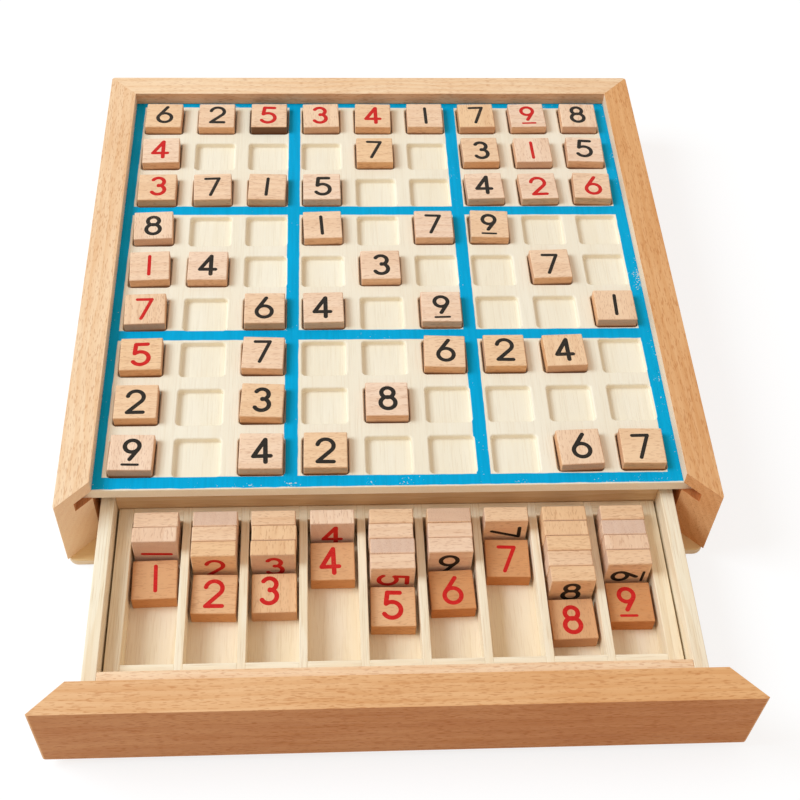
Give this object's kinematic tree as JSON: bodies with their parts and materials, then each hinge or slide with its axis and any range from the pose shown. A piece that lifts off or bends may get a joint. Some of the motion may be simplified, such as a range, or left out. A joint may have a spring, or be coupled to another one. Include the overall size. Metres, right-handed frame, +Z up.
{
  "type": "wooden sudoku board",
  "caption": "Square wooden sudoku board with pockets for number tiles inside mitred rails, and a pull-out drawer of sorting lanes for spare tiles underneath.",
  "frame": {"origin": "on the underside of the base panel, below the middle of the case", "axes": "+Z up, +X to the right, -Y towards the player, the way the drawer pulls out"},
  "size_m": [0.24, 0.318, 0.0373],
  "materials": {
    "frame_beech": "clear satin lacquer",
    "wall_pine": "sanded, bare",
    "panel_ply": "sanded, bare",
    "board_face": "pale matt face with a printed blue grid",
    "tile_beech": "sanded, printed numerals"
  },
  "bodies": {
    "case": {"left_rail": "frame_beech", "right_rail": "frame_beech", "back_rail": "frame_beech", "base_panel": "panel_ply", "play_board": "board_face"},
    "drawer": {"drawer_front": "frame_beech", "drawer_front_wall": "frame_beech", "drawer_left_wall": "wall_pine", "drawer_right_wall": "wall_pine", "drawer_back_wall": "wall_pine", "drawer_bottom": "panel_ply", "tray_left_wall": "wall_pine", "tray_right_wall": "wall_pine", "tray_front_wall": "wall_pine", "tray_back_wall": "wall_pine", "divider_1": "wall_pine", "divider_2": "wall_pine", "divider_3": "wall_pine", "divider_4": "wall_pine", "divider_5": "wall_pine", "divider_6": "wall_pine", "divider_7": "wall_pine", "divider_8": "wall_pine"},
    "board_ones": {"board_ones": "tile_beech"},
    "board_twos": {"board_twos": "tile_beech"},
    "board_threes": {"board_threes": "tile_beech"},
    "board_fours": {"board_fours": "tile_beech"},
    "board_fives": {"board_fives": "tile_beech"},
    "board_sixes": {"board_sixes": "tile_beech"},
    "board_sevens": {"board_sevens": "tile_beech"},
    "board_eights": {"board_eights": "tile_beech"},
    "board_nines": {"board_nines": "tile_beech"},
    "loose_one": {"loose_one": "tile_beech"},
    "loose_two": {"loose_two": "tile_beech"},
    "loose_three": {"loose_three": "tile_beech"},
    "loose_four": {"loose_four": "tile_beech"},
    "loose_five": {"loose_five": "tile_beech"},
    "loose_six": {"loose_six": "tile_beech"},
    "loose_seven": {"loose_seven": "tile_beech"},
    "loose_eight": {"loose_eight": "tile_beech"},
    "loose_nine": {"loose_nine": "tile_beech"},
    "stack_ones": {"stack_ones": "tile_beech"},
    "stack_twos": {"stack_twos": "tile_beech"},
    "stack_threes": {"stack_threes": "tile_beech"},
    "stack_fours": {"stack_fours": "tile_beech"},
    "stack_fives": {"stack_fives": "tile_beech"},
    "stack_sixes": {"stack_sixes": "tile_beech"},
    "stack_sevens": {"stack_sevens": "tile_beech"},
    "stack_eights": {"stack_eights": "tile_beech"},
    "stack_nines": {"stack_nines": "tile_beech"}
  },
  "joints": [
    {"name": "drawer_slide", "type": "slide", "parent": "case", "child": "drawer", "axis": [0, -1, 0], "range_m": [-0.0778, 0.005]},
    {"name": "lift_board_ones", "type": "slide", "parent": "case", "child": "board_ones", "axis": [0, 0, 1], "range_m": [0, 0.02]},
    {"name": "lift_board_twos", "type": "slide", "parent": "case", "child": "board_twos", "axis": [0, 0, 1], "range_m": [0, 0.02]},
    {"name": "lift_board_threes", "type": "slide", "parent": "case", "child": "board_threes", "axis": [0, 0, 1], "range_m": [0, 0.02]},
    {"name": "lift_board_fours", "type": "slide", "parent": "case", "child": "board_fours", "axis": [0, 0, 1], "range_m": [0, 0.02]},
    {"name": "lift_board_fives", "type": "slide", "parent": "case", "child": "board_fives", "axis": [0, 0, 1], "range_m": [0, 0.02]},
    {"name": "lift_board_sixes", "type": "slide", "parent": "case", "child": "board_sixes", "axis": [0, 0, 1], "range_m": [0, 0.02]},
    {"name": "lift_board_sevens", "type": "slide", "parent": "case", "child": "board_sevens", "axis": [0, 0, 1], "range_m": [0, 0.02]},
    {"name": "lift_board_eights", "type": "slide", "parent": "case", "child": "board_eights", "axis": [0, 0, 1], "range_m": [0, 0.02]},
    {"name": "lift_board_nines", "type": "slide", "parent": "case", "child": "board_nines", "axis": [0, 0, 1], "range_m": [0, 0.02]},
    {"name": "lift_loose_one", "type": "slide", "parent": "drawer", "child": "loose_one", "axis": [0, 0, 1], "range_m": [0, 0.012]},
    {"name": "lift_loose_two", "type": "slide", "parent": "drawer", "child": "loose_two", "axis": [0, 0, 1], "range_m": [0, 0.012]},
    {"name": "lift_loose_three", "type": "slide", "parent": "drawer", "child": "loose_three", "axis": [0, 0, 1], "range_m": [0, 0.012]},
    {"name": "lift_loose_four", "type": "slide", "parent": "drawer", "child": "loose_four", "axis": [0, 0, 1], "range_m": [0, 0.012]},
    {"name": "lift_loose_five", "type": "slide", "parent": "drawer", "child": "loose_five", "axis": [0, 0, 1], "range_m": [0, 0.012]},
    {"name": "lift_loose_six", "type": "slide", "parent": "drawer", "child": "loose_six", "axis": [0, 0, 1], "range_m": [0, 0.012]},
    {"name": "lift_loose_seven", "type": "slide", "parent": "drawer", "child": "loose_seven", "axis": [0, 0, 1], "range_m": [0, 0.012]},
    {"name": "lift_loose_eight", "type": "slide", "parent": "drawer", "child": "loose_eight", "axis": [0, 0, 1], "range_m": [0, 0.012]},
    {"name": "lift_loose_nine", "type": "slide", "parent": "drawer", "child": "loose_nine", "axis": [0, 0, 1], "range_m": [0, 0.012]},
    {"name": "lift_stack_ones", "type": "slide", "parent": "drawer", "child": "stack_ones", "axis": [0, 0, 1], "range_m": [0, 0.004]},
    {"name": "lift_stack_twos", "type": "slide", "parent": "drawer", "child": "stack_twos", "axis": [0, 0, 1], "range_m": [0, 0.004]},
    {"name": "lift_stack_threes", "type": "slide", "parent": "drawer", "child": "stack_threes", "axis": [0, 0, 1], "range_m": [0, 0.004]},
    {"name": "lift_stack_fours", "type": "slide", "parent": "drawer", "child": "stack_fours", "axis": [0, 0, 1], "range_m": [0, 0.004]},
    {"name": "lift_stack_fives", "type": "slide", "parent": "drawer", "child": "stack_fives", "axis": [0, 0, 1], "range_m": [0, 0.004]},
    {"name": "lift_stack_sixes", "type": "slide", "parent": "drawer", "child": "stack_sixes", "axis": [0, 0, 1], "range_m": [0, 0.004]},
    {"name": "lift_stack_sevens", "type": "slide", "parent": "drawer", "child": "stack_sevens", "axis": [0, 0, 1], "range_m": [0, 0.004]},
    {"name": "lift_stack_eights", "type": "slide", "parent": "drawer", "child": "stack_eights", "axis": [0, 0, 1], "range_m": [0, 0.004]},
    {"name": "lift_stack_nines", "type": "slide", "parent": "drawer", "child": "stack_nines", "axis": [0, 0, 1], "range_m": [0, 0.004]}
  ]
}
